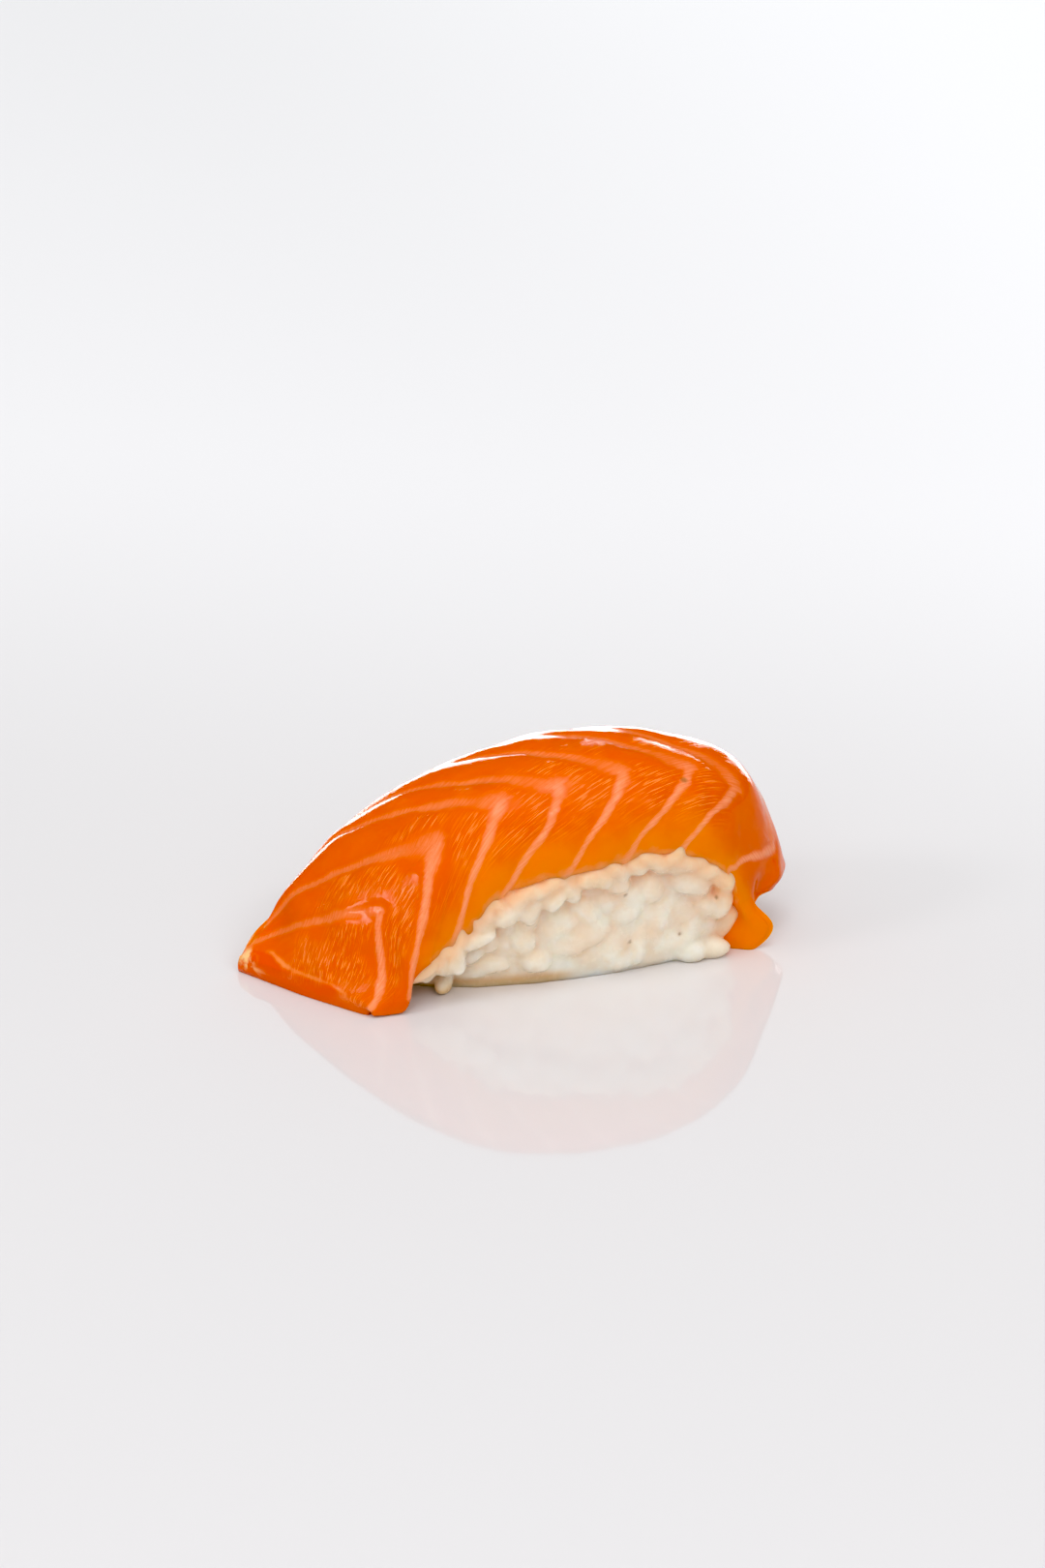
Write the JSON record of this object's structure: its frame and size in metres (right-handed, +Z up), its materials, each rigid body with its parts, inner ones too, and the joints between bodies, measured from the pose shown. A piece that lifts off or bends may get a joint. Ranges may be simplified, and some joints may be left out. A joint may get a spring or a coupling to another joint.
{
  "type": "salmon nigiri",
  "caption": "Hand-pressed bed of sushi rice under a draped, bias-cut slice of raw salmon with pale fat stripes.",
  "frame": {"origin": "on the surface that the nigiri rests on, under the middle of its bounding box", "axes": "+X along the nigiri to its blunt end, +Y to the side that the slice covers, +Z up"},
  "size_m": [0.0791, 0.0293, 0.031],
  "materials": {
    "salmon": "wet gloss, soft raw fish flesh with light scattered under its surface",
    "rice": "moist, slightly translucent cooked rice"
  },
  "bodies": {
    "root": {"salmon_slice": "salmon", "rice_bed": "rice"}
  },
  "joints": []
}
